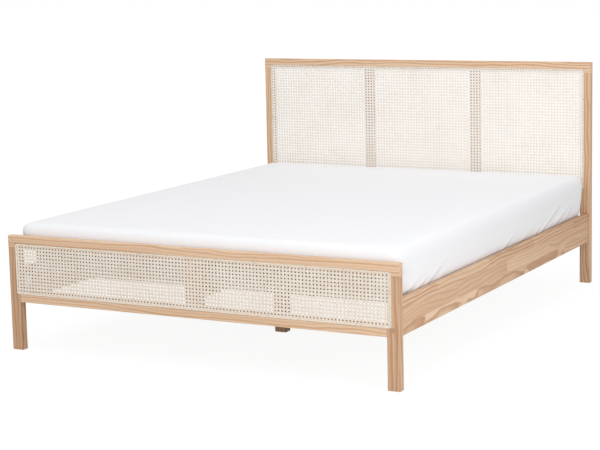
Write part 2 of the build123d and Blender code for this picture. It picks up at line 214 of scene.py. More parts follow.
bpy.ops.object.select_all(action="DESELECT")
bpy.ops.mesh.primitive_plane_add(size=studio["floorSize"], location=(0, 0, 0))
floor = bpy.context.object
floor.name = "studioFloor"
floor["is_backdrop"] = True
floorMaterial, floorTree, floorShader = newMaterial("floorPaint", 0.9, Base_Color=studio["floorTone"],
                                                    Specular_IOR_Level=0.0)
fromMiddle = vectorCalc(floorTree, "LENGTH", objectCoordinates(floorTree))
floorFade = mapRange(floorTree, fromMiddle, *studio["floorFade"], studio["floorGlow"], 1.0, kind="SMOOTHSTEP")
floorShare = calc(floorTree, "MULTIPLY", seenWhite(floorTree), floorFade)
glow = addNode(floorTree, "Emission", {"Color": (1, 1, 1, 1), "Strength": studio["floorWhite"]})
floorMix = addNode(floorTree, "MixShader", {0: floorShare, 1: floorShader.outputs[0], 2: glow.outputs[0]})
floorTree.links.new(floorMix.outputs[0], floorTree.nodes["Material Output"].inputs["Surface"])
floor.data.materials.append(floorMaterial)
print("camera, lights and floor placed")

# Timber
timber = {
    "light": (0.860, 0.645, 0.460),
    "middle": (0.710, 0.465, 0.292),
    "dark": (0.520, 0.280, 0.140),
    "stops": (0.08, 0.48, 1.0),    # the tones at which these three are reached
    "ringSpacing": 0.0118,
    "ringDepth": 0.90,     # how much a growth ring darkens the tone
    "faintRing": 0.25,     # share of that for the faintest one
    "lateWood": (0.15, 0.85),    # part of a ring over which it darkens
    "ringEnd": (1.0, 0.84),      # part over which it gets light again
    "wave": (2.2, 8.0, 8.0),     # how quickly the rings wander along the grain and across it
    "wander": 0.055,
    "broad": (1.6, 26, 26),      # broad streaks
    "broadDepth": 0.46,
    "fibre": (14, 900, 900),
    "fibreDepth": 0.34,
    "shadeWarmth": 0.35,   # how much more a shade takes from green and blue
    "relief": (0.12, 0.0006),
    "roughness": 0.52,
}
sawnSlat = dict(timber, light=(0.86, 0.70, 0.52), middle=(0.78, 0.60, 0.42), dark=(0.62, 0.44, 0.28),
                roughness=0.7)
# a darker timber for the ledgers, the centre beam and the centre legs under the bed
darkBaseTimber = dict(timber, light=(0.72, 0.50, 0.32), middle=(0.58, 0.37, 0.22), dark=(0.42, 0.25, 0.13),
                 roughness=0.6)
railStrips = {
    "upper": 0.284,    # heights of the two glue lines
    "lower": 0.226,
    "fingerPitch": 0.0075,
    "fingerLength": 0.009,
    "stagger": 0.195,
    "segment": 0.50,
    "spread": (3.0, 0.09, 0.12),    # how far apart the piths of the lengths lie
    "toneSpread": 0.46,
    # painted shade: the side rails get darker towards the head end, by this much over this span of Y
    "paintedShadeToHead": 0.42,
    "paintedShadeFrom": (-0.2, 0.9),
    "plainMiddle": 0.40,    # share of the ring pattern that shows on the middle strip
}


def gluedStrips(tree, height, along, seed):
    # number of the edge-glued strip, and three chance values for each of its finger-jointed lengths
    upper = calc(tree, "GREATER_THAN", height, railStrips["upper"])
    lower = calc(tree, "LESS_THAN", height, railStrips["lower"])
    strip = calc(tree, "SUBTRACT", upper, lower)
    fingers = calc(tree, "PINGPONG", height, railStrips["fingerPitch"] / 2)
    slope = railStrips["fingerLength"] / railStrips["fingerPitch"] * 2
    finger = calc(tree, "ADD", along, calc(tree, "MULTIPLY", fingers, slope))
    joint = calc(tree, "MULTIPLY_ADD", strip, railStrips["stagger"], finger)
    length = calc(tree, "FLOOR", calc(tree, "DIVIDE", joint, railStrips["segment"]))
    cell = addNode(tree, "CombineXYZ", {0: strip, 1: length, 2: seed}).outputs[0]
    return strip, separate(tree, addNode(tree, "TexWhiteNoise", {0: cell}).outputs["Color"])


def growthRings(tree, place, style):
    # rings round the grain axis, each light at first and dark at its end, some fainter than others
    drift = noise(tree, stretched(tree, place, style["wave"]), 1.0, 3.0, 0.45, "Color")
    drift = vectorCalc(tree, "SUBTRACT", drift, (0.5, 0.5, 0.5))
    moved = vectorCalc(tree, "MULTIPLY_ADD", drift, (0, style["wander"], style["wander"]), place)
    radius = vectorCalc(tree, "LENGTH", vectorCalc(tree, "MULTIPLY", moved, (0, 1, 1)))
    ring = calc(tree, "DIVIDE", radius, style["ringSpacing"])
    share = calc(tree, "FRACT", ring)
    number = addNode(tree, "CombineXYZ", {0: calc(tree, "FLOOR", ring)}).outputs[0]
    chance = addNode(tree, "TexWhiteNoise", {0: number}).outputs["Value"]
    band = calc(tree, "MULTIPLY", mapRange(tree, share, *style["lateWood"], kind="SMOOTHSTEP"),
                mapRange(tree, share, *style["ringEnd"], kind="SMOOTHSTEP"))
    return calc(tree, "MULTIPLY", band, mapRange(tree, chance, 0, 1, style["faintRing"], 1.0))


def knotTone(tree, knot):
    away = vectorCalc(tree, "SUBTRACT", objectCoordinates(tree), knot["place"])
    away = vectorCalc(tree, "LENGTH", vectorCalc(tree, "MULTIPLY", away, knot["stretch"]))
    return mapRange(tree, away, knot["radius"] * 1.4, knot["radius"] * 0.6, 0, knot["depth"])


# A solid pattern of growth rings round a pith that lies beside the piece, along its grain axis
def timberMaterial(name, grain, shift, style=timber, glued=False, shade=1.0, knot=None):
    material, tree, shader = newMaterial(name, style["roughness"])
    parts = separate(tree, objectCoordinates(tree))
    ways = [parts[grain]] + [parts[axis] for axis in "XYZ" if axis != grain]
    if glued:
        strip, chance = gluedStrips(tree, parts["Z"], parts[grain], shift[0])
        ways = [calc(tree, "MULTIPLY_ADD", value, far, way)
                for value, far, way in zip(chance, railStrips["spread"], ways)]
    moved = [calc(tree, "ADD", way, offset) for way, offset in zip(ways, shift)]
    place = addNode(tree, "CombineXYZ", dict(enumerate(moved))).outputs[0]
    band = growthRings(tree, place, style)
    if glued:
        plain = railStrips["plainMiddle"]
        figure = calc(tree, "MULTIPLY_ADD", calc(tree, "ABSOLUTE", strip), 1 - plain, plain)
        band = calc(tree, "MULTIPLY", band, figure)
    fibre = noise(tree, stretched(tree, place, style["fibre"]), 1.0, 3.0, 0.6)
    broad = noise(tree, stretched(tree, place, style["broad"]), 1.0)
    broad = calc(tree, "MULTIPLY", broad, style["broadDepth"])
    tone = calc(tree, "MULTIPLY_ADD", band, style["ringDepth"], broad)
    depth = style["fibreDepth"]
    tone = calc(tree, "ADD", tone, calc(tree, "MULTIPLY_ADD", fibre, depth, -depth / 2))
    if glued:
        depth = railStrips["toneSpread"]
        tone = calc(tree, "ADD", tone, calc(tree, "MULTIPLY_ADD", chance[1], depth, -depth / 2))
        # painted shade, darker towards the head end
        darker = mapRange(tree, parts["Y"], *railStrips["paintedShadeFrom"], 0, railStrips["paintedShadeToHead"])
        tone = calc(tree, "ADD", tone, darker)
    if knot:
        tone = calc(tree, "ADD", tone, knotTone(tree, knot))
    powers = [1 + style["shadeWarmth"] * i for i in range(3)]
    tints = [tuple(v * shade ** power for v, power in zip(style[key], powers))
             for key in ("light", "middle", "dark")]
    colour = colourRamp(tree, tone, list(zip(style["stops"], tints)))
    tree.links.new(colour, shader.inputs["Base Color"])
    bump(tree, shader, calc(tree, "MULTIPLY_ADD", band, -0.5, fibre), *style["relief"])
    return material


# painted shade on the wood right behind the cane: its reach, its share and its tone
paintedSeatShade = {
    "reach": 0.0007,    # to either side of the plane behind the cane
    "share": 0.62,
    "tone": (0.17, 0.085, 0.035, 1),
}


def paintSeatShade(material, panel):
    # painted shade on the wood of the rebate that the cane is laid on, where the cane shades it, seen only
    # through its holes
    tree = material.node_tree
    low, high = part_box(panel)
    low.y, high.y = high.y - paintedSeatShade["reach"], high.y + paintedSeatShade["reach"]
    away = vectorCalc(tree, "SUBTRACT", objectCoordinates(tree), (low + high) / 2)
    away = separate(tree, vectorCalc(tree, "ABSOLUTE", away))
    inside = paintedSeatShade["share"]
    for axis, reach in zip("XYZ", (high - low) / 2):
        inside = calc(tree, "MULTIPLY", calc(tree, "LESS_THAN", away[axis], reach), inside)
    tint = tree.nodes["Principled BSDF"].inputs["Base Color"]
    mixed = addNode(tree, "MixRGB", {0: inside, 1: tint.links[0].from_socket, 2: paintedSeatShade["tone"]})
    tree.links.new(mixed.outputs[0], tint)


def dress(node, material):
    mesh = nodes[node].data
    mesh.materials.clear()
    mesh.materials.append(material)


framePieces = {  # node: grain axis, place of the pith beside the piece, shade
    "foot_post_left": ("Z", (0.3, 0.06, 0.05), 0.74),
    "foot_post_right": ("Z", (1.7, 0.05, -0.04), 0.77),
    "foot_top_rail": ("X", (2.9, 0.02, -0.055), 0.96),
    "foot_bottom_rail": ("X", (4.1, 0.015, 0.052), 0.94),
    "foot_stile": ("Z", (5.3, -0.06, 0.07), 0.90),
    "head_post_left": ("Z", (6.1, 0.08, 0.03), 0.94),
    "head_post_right": ("Z", (7.7, -0.07, 0.06), 0.87),
    "head_top_rail": ("X", (8.2, -0.02, 0.055), 0.97),
    "head_lower_rail": ("X", (9.8, 0.02, 0.06), 0.95),
    "head_cross_rail": ("X", (10.4, 0.08, -0.06), 0.95),
    "head_stile_left": ("Z", (11.6, 0.05, 0.09), 0.95),
    "head_stile_right": ("Z", (12.3, -0.09, 0.04), 0.95),
    "head_support_stile": ("Z", (13.9, 0.07, -0.08), 0.90),
    "side_rail_left": ("Y", (14.2, 0.062, 0.05), 0.93),
    "side_rail_right": ("Y", (17.6, 0.058, 0.05), 0.93),
}
knots = {
    "foot_post_right": {"place": (0.8052, -1.045, 0.2142), "stretch": (1.0, 0.3, 0.7), "radius": 0.006,
                        "depth": 0.5},
}
for node, (grain, pith, shade) in framePieces.items():
    middle = [(a + b) / 2 for axis, a, b in zip("XYZ", *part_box(node)) if axis != grain]
    shift = (pith[0], pith[1] - middle[0], pith[2] - middle[1])
    material = timberMaterial(node + "Timber", grain, shift, glued=node.startswith("side_rail"), shade=shade,
                              knot=knots.get(node))
    # painted shade on the wood that lies behind this end's cane
    if node.startswith(("foot", "head")):
        paintSeatShade(material, node[:4] + "_cane_panel")
    dress(node, material)

# Under the mattress, the first value of each shift only gives every piece a figure of its own
slatCount = 14
for i in range(slatCount):
    node = f"slat_{i + 1:02d}"
    low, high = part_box(node)
    shift = (i * 2.3, 0.05 - (low.y + high.y) / 2, 0.04 + i % 3 * 0.02 - high.z)
    dress(node, timberMaterial(node + "Timber", "X", shift, sawnSlat))
for i, node in enumerate(("slat_ledger_left", "slat_ledger_right", "centre_beam")):
    low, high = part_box(node)
    dress(node, timberMaterial(node + "Timber", "Y", (i * 3.1, 0.05 - low.x, 0.05 - low.z), darkBaseTimber))
for i, node in enumerate(("centre_leg_foot", "centre_leg_head")):
    dress(node, timberMaterial(node + "Timber", "Z", (i * 1.9, 0.06, 0.04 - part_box(node)[0].y), darkBaseTimber))
dress("rail_dowels", timberMaterial("dowelTimber", "Y", (0.4, 0.02, 0.03), sawnSlat))
print("timber finished")

# Modelling helpers
vertexMode, faceMode = (True, False, False), (False, False, True)


def clearSelection():
    if bpy.context.object and bpy.context.object.mode != "OBJECT":
        bpy.ops.object.mode_set(mode="OBJECT")
    bpy.ops.object.select_all(action="DESELECT")


def pick(obj):
    clearSelection()
    obj.select_set(True)
    bpy.context.view_layer.objects.active = obj


def addBlock(name, low, high):
    clearSelection()
    size = [b - a for a, b in zip(low, high)]
    place = [(a + b) / 2 for a, b in zip(low, high)]
    bpy.ops.mesh.primitive_cube_add(size=1, location=place, scale=size)
    obj = bpy.context.object
    obj.name = obj.data.name = name
    bpy.ops.object.transform_apply(location=True, rotation=True, scale=True)
    return obj


def selectVerts(obj, test):
    pick(obj)
    bpy.context.tool_settings.mesh_select_mode = vertexMode
    bpy.ops.object.mode_set(mode="EDIT")
    bpy.ops.mesh.select_all(action="DESELECT")
    bpy.ops.object.mode_set(mode="OBJECT")
    for vertex in obj.data.vertices:
        vertex.select = test(vertex.co)
    bpy.ops.object.mode_set(mode="EDIT")


def moveVerts(obj, test, value):
    selectVerts(obj, test)
    bpy.ops.transform.translate(value=value)
    objectMode()


def objectMode():
    bpy.ops.object.mode_set(mode="OBJECT")


def bisect(obj, place, normal, **options):
    pick(obj)
    bpy.ops.object.mode_set(mode="EDIT")
    bpy.ops.mesh.select_all(action="SELECT")
    bpy.ops.mesh.bisect(plane_co=place, plane_no=normal, **options)
    objectMode()


def applyModifier(obj, kind, **settings):
    pick(obj)
    modifier = obj.modifiers.new(kind.lower(), kind)
    for key, value in settings.items():
        setattr(modifier, key, value)
    bpy.ops.object.modifier_apply(modifier=modifier.name)


def repeat(obj, step, count, merge=True):
    applyModifier(obj, "ARRAY", use_relative_offset=False, use_constant_offset=True,
                  constant_offset_displace=step, count=count, use_merge_vertices=merge,
                  merge_threshold=0.00002)


def joinAll(objects, name):
    clearSelection()
    for obj in objects:
        obj.select_set(True)
    bpy.context.view_layer.objects.active = objects[0]
    bpy.ops.object.join()
    objects[0].name = objects[0].data.name = name
    return objects[0]


def finishPiece(obj, body, material, replaced=()):
    obj.data.materials.clear()
    obj.data.materials.append(material)
    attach(obj, body)
    if replaced:
        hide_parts(*replaced)


def removeAll(objects):
    for obj in objects:
        pick(obj)
        bpy.ops.object.delete()


# Cane webbing
cane = {
    "pitchAcross": 0.0142,
    "pitchUp": 0.0132,
    "pairHalf": 0.00190,     # from a pair's middle to each of its strands
    "strandWidth": 0.0036,
    "diagonalWidth": 0.0032,
    "thickness": 0.00046,
    "weaveDepth": 0.00027,   # how far a strand leaves the middle where it crosses one of a pair
    "diagonalDepth": 0.00060,
    "darkTone": (0.650, 0.495, 0.355),
    "tone": (0.810, 0.710, 0.600),
    "paleTone": (0.890, 0.815, 0.725),
    "stops": (0.28, 0.48, 0.72),    # the tones at which these three are reached
    "backTone": (0.400, 0.285, 0.180, 1),
    "paleness": {"foot": 0.84, "head": 0.50},    # the lower, the paler
    "streaks": {"X": (3, 60, 330), "Z": (330, 60, 3), "diagonal": (90, 60, 90)},
    "patches": 7.0,
    "patchShare": 0.3,
    "relief": (0.15, 0.0002),
    "roughness": 0.42,
    "gloss": 0.4,
}


def caneMaterial(name, grain, pale):
    material, tree, shader = newMaterial(name, cane["roughness"], Specular_IOR_Level=cane["gloss"])
    place = objectCoordinates(tree)
    streaks = noise(tree, stretched(tree, place, cane["streaks"][grain]), 1.0, 2.0, 0.6)
    patches = calc(tree, "MULTIPLY", noise(tree, place, cane["patches"]), cane["patchShare"])
    tone = calc(tree, "MULTIPLY_ADD", streaks, 1 - cane["patchShare"], patches)
    tones = [tuple(v ** pale for v in cane[key]) for key in ("darkTone", "tone", "paleTone")]
    colour = colourRamp(tree, tone, list(zip(cane["stops"], tones)))
    # the back of a strand is the duller inside of the stem
    facing = separate(tree, addNode(tree, "TexCoord").outputs["Normal"])["Y"]
    back = mapRange(tree, facing, 0.2, 0.6)
    skin = addNode(tree, "MixRGB", {0: back, 1: colour, 2: cane["backTone"]}).outputs[0]
    tree.links.new(skin, shader.inputs["Base Color"])
    bump(tree, shader, streaks, *cane["relief"])
    return material


def strandCell(name, start, step, width, startDepth, middleDepth, split):
    # an open four-sided tube for one repeat of a strand, bent where it crosses others
    direction = Vector((step[0], 0, step[1]))
    length = direction.length
    clearSelection()
    bpy.ops.mesh.primitive_cube_add(size=1, scale=(width, cane["thickness"], length))
    obj = bpy.context.object
    obj.name = obj.data.name = name
    bpy.ops.object.transform_apply(location=False, rotation=False, scale=True)
    bisect(obj, (0, 0, (split - 0.5) * length), (0, 0, 1))
    end = length / 2 - 1e-5
    moveVerts(obj, lambda co: abs(co.z) < end, (0, middleDepth, 0))
    moveVerts(obj, lambda co: abs(co.z) > end, (0, startDepth, 0))
    pick(obj)
    bpy.context.tool_settings.mesh_select_mode = faceMode
    for face in obj.data.polygons:
        face.select = abs(face.normal.z) > 0.9 and abs(face.center.z) > end
    bpy.ops.object.mode_set(mode="EDIT")
    bpy.ops.mesh.delete(type="FACE")
    objectMode()
    bpy.context.tool_settings.mesh_select_mode = vertexMode
    obj.rotation_euler = (0, math.atan2(step[0], step[1]), 0)
    obj.location = (start[0] + direction.x / 2, start[1], start[2] + direction.z / 2)
    pick(obj)
    bpy.ops.object.transform_apply(location=True, rotation=True, scale=True)
    return obj


def clipToPanel(obj, low, high):
    for place, normal in (((low.x, 0, 0), (-1, 0, 0)), ((high.x, 0, 0), (1, 0, 0)),
                          ((0, 0, low.z), (0, 0, -1)), ((0, 0, high.z), (0, 0, 1))):
        bisect(obj, place, normal, use_fill=True, clear_outer=True)


def weavePanel(end):
    panel = end + "_cane_panel"
    low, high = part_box(panel)
    across, up, half = cane["pitchAcross"], cane["pitchUp"], cane["pairHalf"]
    small, large = cane["weaveDepth"], cane["diagonalDepth"]
    depth = (low.y + high.y) / 2
    columns = math.ceil((high.x - low.x) / across) + 1
    rows = math.ceil((high.z - low.z) / up) + 1
    startX = (low.x + high.x) / 2 - (columns - 1) * across / 2
    startZ = (low.z + high.z) / 2 - (rows - 1) * up / 2

    def lay(cell, step, count, nextStep, nextCount):
        repeat(cell, step, count)
        repeat(cell, nextStep, nextCount, merge=False)
        clipToPanel(cell, low, high)
        return cell

    uprights, levels = [], []
    for sign in (-1, 1):
        cell = strandCell("upright", (startX + sign * half, depth, startZ - up), (0, up), cane["strandWidth"],
                          -sign * small, 0, 0.5)
        uprights.append(lay(cell, (0, 0, up), rows + 2, (across, 0, 0), columns))
        cell = strandCell("level", (startX - across - half, depth, startZ + sign * half), (across, 0),
                          cane["strandWidth"], -small, small, 2 * half / across)
        levels.append(lay(cell, (across, 0, 0), columns + 2, (0, 0, up), rows))
    pieces = [(joinAll(uprights, end + "CaneUprights"), "Z"), (joinAll(levels, end + "CaneLevels"), "X")]
    for name, way, row in (("Rising", 1, -1.5), ("Falling", -1, rows - 0.5)):
        cell = strandCell(end + "Cane" + name, (startX - (rows + 2) * across, depth, startZ + row * up),
                          (across, way * up), cane["diagonalWidth"], way * large, -way * large, 0.5)
        lay(cell, (across, 0, way * up), rows + 2, (across, 0, 0), columns + rows + 4)
        pieces.append((cell, "diagonal"))
    skins = {grain: caneMaterial(end + "CaneSkin" + grain, grain, cane["paleness"][end])
             for grain in cane["streaks"]}
    for piece, grain in pieces:
        finishPiece(piece, "frame", skins[grain], [panel])
        print(" ", piece.name, len(piece.data.polygons), "faces")


for end in ("foot", "head"):
    weavePanel(end)
print("cane woven")

# Reed splines round the cane
reed = {
    "width": 0.0062,
    "round": 0.0012,
    "mitreSlack": 0.0001,
    "grain": (90.0, 4.0),
    "tones": [(0.3, (0.700, 0.560, 0.420)), (0.5, (0.850, 0.760, 0.650))],
    "relief": (0.2, 0.0003),
    "roughness": 0.55,
}
peeledReed = speckled("peeledReed", reed)


def reedStrip(low, high, cuts):
    strip = addBlock("reedStrip", low, high)
    selectVerts(strip, lambda co: co.y < (low[1] + high[1]) / 2)
    bpy.ops.mesh.bevel(offset=reed["round"], segments=3, affect="EDGES")
    objectMode()
    for place, normal in cuts:
        bisect(strip, place, normal, use_fill=True, clear_outer=True)
    return strip


for end in ("foot", "head"):
    low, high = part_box(end + "_cane_spline")
    width, slack = reed["width"], reed["mitreSlack"]
    strips = []
    for sign in (-1, 1):
        outerX, outerZ = (low.x, low.z) if sign < 0 else (high.x, high.z)
        x0, x1 = sorted((outerX, outerX - sign * width))
        z0, z1 = sorted((outerZ, outerZ - sign * width))
        cuts = [((outerX, 0, z - way * slack), (sign, 0, way)) for z, way in ((high.z, 1), (low.z, -1))]
        strips.append(reedStrip((x0, low.y, low.z), (x1, high.y, high.z), cuts))
        cuts = [((x - way * slack, 0, outerZ), (way, 0, -sign)) for x, way in ((high.x, 1), (low.x, -1))]
        strips.append(reedStrip((low.x, low.y, z0), (high.x, high.y, z1), cuts))
    spline = joinAll(strips, end + "ReedSpline")
    finishPiece(spline, "frame", peeledReed, [end + "_cane_spline"])
print("reed splines laid")

# Mattress and fitted sheet
mattress = {
    "width": 1.600,
    "length": 2.000,
    "cells": (80, 100),
    "rings": 18,
    "side": [(0.0, -0.013), (0.006, -0.006), (0.016, 0.0006), (0.024, 0.0012), (0.040, 0.0040),
             (0.070, 0.0065), (0.100, 0.0085), (0.140, 0.0115), (0.158, 0.0098), (0.172, 0.0048),
             (0.184, -0.0030)],    # height, out
    "roll": [(0.0, 0.0), (0.005, 0.0028), (0.012, 0.0048), (0.022, 0.0060), (0.040, 0.0066)],    # inset, rise
    "topReach": 0.03,     # how far in from the edge the top and the base still follow the side's bulge
    "baseReach": 0.05,
    "crown": 0.0024,
    "crownReach": 0.16,
    # height and radius of the upright corners: at the foot the sheet draws them in below
    "footCorner": [(0.0, 0.14), (0.085, 0.14), (0.125, 0.07), (0.146, 0.022)],
    "headCorner": [(0.0, 0.045), (0.15, 0.036)],
    "edgeCells": 0.08,    # the cells get narrower within this distance of an edge
    "edgeTightness": 0.6,
    "smoothing": 6,
    "drawBack": 4,        # further smoothing by which the filling leaves the sheet's corners
    "pressure": 4.0,
    "lastFrame": 12,
    "mostSwell": 0.0025,
    "grain": (900.0, 2.0),
    "tones": [(0.3, (0.74, 0.74, 0.73)), (0.7, (0.86, 0.86, 0.85))],
    "relief": (0.3, 0.0006),
    "roughness": 0.85,
}
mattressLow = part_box("mattress")[0].z
halfWidth, halfLength = mattress["width"] / 2, mattress["length"] / 2
sideHeight = mattress["side"][-1][0]


def between(value, points):
    # the height of a line through points, level beyond its ends
    if value <= points[0][0]:
        return points[0][1]
    for (x0, y0), (x1, y1) in zip(points, points[1:]):
        if value <= x1:
            return y0 + (y1 - y0) * (value - x0) / (x1 - x0)
    return points[-1][1]


def mattressPoint(co):
    # from a plain box of even cells to rounded corners, bulging sides, a rolled edge and a crown
    insets = []
    for value, half in ((co.x, halfWidth), (co.y, halfLength)):
        inset = max(0.0, half - abs(value))
        tight = mattress["edgeTightness"] * (1 - min(1, inset / mattress["edgeCells"]))
        insets.append(inset * (1 - tight))
    edge = min(insets)
    up = (co.z - mattressLow) / sideHeight
    if up > 0.999:
        out = mattress["side"][-1][1] * max(0, 1 - edge / mattress["topReach"])
        crown = [1 - math.exp(-inset / mattress["crownReach"]) for inset in insets]
        rise = between(edge, mattress["roll"]) + mattress["crown"] * crown[0] * crown[1]
    elif up < 0.001:
        out, rise = mattress["side"][0][1] * max(0, 1 - edge / mattress["baseReach"]), 0.0
    else:
        out, rise = between(up * sideHeight, mattress["side"]), 0.0
    radius = between(up * sideHeight, mattress["footCorner"] if co.y < 0 else mattress["headCorner"])
    u, v = 1 - insets[0] / radius, 1 - insets[1] / radius
    if u > 0 and v > 0:
        u, v = u * math.sqrt(1 - v * v / 2), v * math.sqrt(1 - u * u / 2)
        away = math.hypot(u, v) or 1
        outX, outY = out * u / away, out * v / away
        insets = [radius * (1 - u), radius * (1 - v)]
    else:
        outX, outY = (out, 0) if insets[0] < insets[1] else (0, out)
    return Vector((math.copysign(halfWidth - insets[0] + outX, co.x),
                   math.copysign(halfLength - insets[1] + outY, co.y), co.z + rise))


def addGrid(name, z):
    clearSelection()
    bpy.ops.mesh.primitive_grid_add(x_subdivisions=mattress["cells"][0], y_subdivisions=mattress["cells"][1],
                                    size=1, location=(0, 0, z))
    grid = bpy.context.object
    grid.name = grid.data.name = name
    grid.scale = (mattress["width"], mattress["length"], 1)
    bpy.ops.object.transform_apply(location=True, rotation=True, scale=True)
    return grid


underside = addGrid("mattressUnderside", mattressLow)
body = addGrid("mattressBody", mattressLow + sideHeight)
edgeX, edgeY = halfWidth - 1e-4, halfLength - 1e-4
selectVerts(body, lambda co: abs(co.x) > edgeX or abs(co.y) > edgeY)
down = (0, 0, -sideHeight / mattress["rings"])
for ring in range(mattress["rings"]):
    bpy.ops.mesh.extrude_region_move(TRANSFORM_OT_translate={"value": down})
objectMode()
body = joinAll([body, underside], "mattressBody")
pick(body)
bpy.ops.object.mode_set(mode="EDIT")
bpy.ops.mesh.select_all(action="SELECT")
bpy.ops.mesh.remove_doubles(threshold=0.0001)
bpy.ops.mesh.normals_make_consistent(inside=False)
objectMode()
for vertex in body.data.vertices:
    vertex.co = mattressPoint(vertex.co)
applyModifier(body, "SMOOTH", factor=0.5, iterations=mattress["smoothing"])


def swell(obj, pressure, lastFrame, most, floorLevel):
    # cloth pressed out by its filling, each point kept within a few millimetres of its start
    start = [vertex.co.copy() for vertex in obj.data.vertices]
    cloth = obj.modifiers.new("filling", "CLOTH")
    cloth.settings.use_pressure = True
    cloth.settings.uniform_pressure_force = pressure
    cloth.settings.effector_weights.gravity = 0
    cloth.point_cache.frame_start, cloth.point_cache.frame_end = 1, lastFrame
    for number in range(1, lastFrame + 1):
        bpy.context.scene.frame_set(number)
    pick(obj)
    bpy.ops.object.modifier_apply(modifier=cloth.name)
    bpy.context.scene.frame_set(1)
    for vertex, before in zip(obj.data.vertices, start):
        move = vertex.co - before
        if move.length > most:
            move *= most / move.length
        vertex.co = before + move
        vertex.co.z = max(vertex.co.z, floorLevel)


swell(body, mattress["pressure"], mattress["lastFrame"], mattress["mostSwell"], mattressLow)
print("mattress", len(body.data.polygons), "faces")

sheet = {
    "gap": 0.0009,
    "side": 0.190,
    "hem": 0.090,
    "hemLevel": 0.008,     # the opening is cut from what lies no higher than this over the underside
    "grain": (1400.0, 2.0),
    "tones": [(0.3, (0.8924, 0.89628, 0.91762)), (0.7, (0.920, 0.924, 0.946))],
    "relief": (0.12, 0.0003),
    "roughness": 0.82,
    "sheen": 0.15,
    "creaseWidth": 0.0095,
    "creaseStart": 0.1,      # share of its length over which a crease sets in below its first point
    "valley": (0.7, 1.7),    # its depth as a share of the ridge's height, and its distance in widths
    "farSide": (0.93, 0.03, 0.85),    # stretch, shift and strength of the creases there
    # along the bed and height, from the rail upwards, and the height of the ridge
    "creases": [((0.360, 0.312), (0.520, 0.394), 0.0030), ((0.430, 0.318), (0.715, 0.430), 0.0046),
                ((0.610, 0.328), (0.850, 0.404), 0.0044), ((0.000, 0.318), (0.170, 0.394), 0.0028),
                ((0.210, 0.320), (0.335, 0.364), 0.0024), ((0.740, 0.330), (0.890, 0.408), 0.0030),
                ((0.520, 0.322), (0.640, 0.360), 0.0026), ((-0.840, 0.318), (-0.700, 0.362), 0.0030),
                ((-0.760, 0.316), (-0.570, 0.400), 0.0036), ((-0.920, 0.320), (-0.800, 0.370), 0.0030),
                ((-0.640, 0.316), (-0.530, 0.356), 0.0018), ((-0.300, 0.316), (-0.200, 0.352), 0.0012)],
}
pick(body)
bpy.ops.object.duplicate()
cover = bpy.context.object
cover.name = cover.data.name = "fittedSheet"
hemX, hemY = halfWidth - sheet["hem"], halfLength - sheet["hem"]
hemHeight = mattressLow + sheet["hemLevel"]
selectVerts(cover, lambda co: co.z < hemHeight and abs(co.x) < hemX and abs(co.y) < hemY)
bpy.ops.mesh.delete(type="VERT")
bpy.ops.mesh.select_all(action="SELECT")
bpy.ops.transform.shrink_fatten(value=sheet["gap"])
objectMode()
applyModifier(cover, "SUBSURF", levels=1, render_levels=1)
applyModifier(body, "SMOOTH", factor=0.5, iterations=mattress["drawBack"])


def creaseHeight(y, z):
    # ridges with a shallow valley below, fading out at their upper ends
    before, (valley, valleyOff) = sheet["creaseStart"], sheet["valley"]
    total = 0.0
    for (y0, z0), (y1, z1), ridge in sheet["creases"]:
        way = Vector((y1 - y0, z1 - z0))
        along = Vector((y - y0, z - z0)).dot(way) / way.length_squared
        if -before < along < 1:
            off = ((z - z0) * way.x - (y - y0) * way.y) / way.length / sheet["creaseWidth"]
            fade = min(1, (along + before) * 6) * (1 - max(0, along)) ** 0.6
            total += ridge * fade * (math.exp(-off * off) - valley * math.exp(-(off + valleyOff) ** 2))
    return total


stretch, shift, strength = sheet["farSide"]
normals = [vertex.normal.copy() for vertex in cover.data.vertices]
for vertex, normal in zip(cover.data.vertices, normals):
    if abs(normal.z) < 0.75 and normal.x > 0.6:
        vertex.co += normal * creaseHeight(vertex.co.y, vertex.co.z)
    elif abs(normal.z) < 0.75 and normal.x < -0.6:
        vertex.co += normal * creaseHeight(vertex.co.y * stretch + shift, vertex.co.z) * strength
print("sheet", len(cover.data.polygons), "faces")

ticking = speckled("mattressTicking", mattress)
finishPiece(body, "mattress", ticking, ["mattress"])

cotton = speckled("whiteCotton", sheet, Sheen_Weight=sheet["sheen"], Base_Color=(*sheet["tones"][1][1], 1))
finishPiece(cover, "mattress", cotton, ["fitted_sheet"])
for piece in (cover, body):
    pick(piece)
    bpy.ops.object.shade_smooth()
print("mattress and sheet made")

# Metal
zinc = {
    "grain": (60.0, 4.0),
    "tones": [(0.3, (0.50, 0.51, 0.52)), (0.7, (0.66, 0.67, 0.68))],
    "relief": (0.08, 0.0004),
    "roughness": 0.38,
}
zincPlate = speckled("zincPlate", zinc, Metallic=1.0)
for node in nodes:
    if node.startswith(("corner_bracket", "beam_hanger")) or node == "leg_bolts":
        dress(node, zincPlate)

# Fasteners, modelled once with the head towards +Z and its seat at the origin, then copied
fastener = {
    "headRadius": 0.0042,
    "headHeight": 0.0022,
    "headRound": 0.0008,
    "crossLength": 0.0050,
    "crossWidth": 0.0010,
    "crossDepth": 0.0013,
    "shankRadius": 0.0018,
    "shankLength": 0.012,
    "hexRadius": 0.0060,
    "hexHeight": 0.0025,
    "hexEdge": 0.0007,
    "washerRadius": 0.0078,
    "washerHeight": 0.0009,
    "washerEdge": 0.0002,
    "boltRadius": 0.0030,
    "boltLength": 0.0195,
    "turn": 0.7,    # each is turned this much further than the one before
}
cornerRows = {    # place at the corner towards +X and +Y, heights, the way the head looks there
    "bracketScrews": (0.7995, 0.970, (0.256, 0.282), (-1, 0, 0)),
    "hangerScrews": (0.015, 1.013, (0.253,), (0, -1, 0)),
    "slatScrews": (0.790, 0.910, (0.3002,), (0, 0, 1)),
    "hexBolts": (0.791, 1.0125, (0.256, 0.282), (0, -1, 0)),
}
ledgerRow = {"x": 0.782, "z": 0.280, "first": -0.9, "pitch": 0.3, "count": 7}


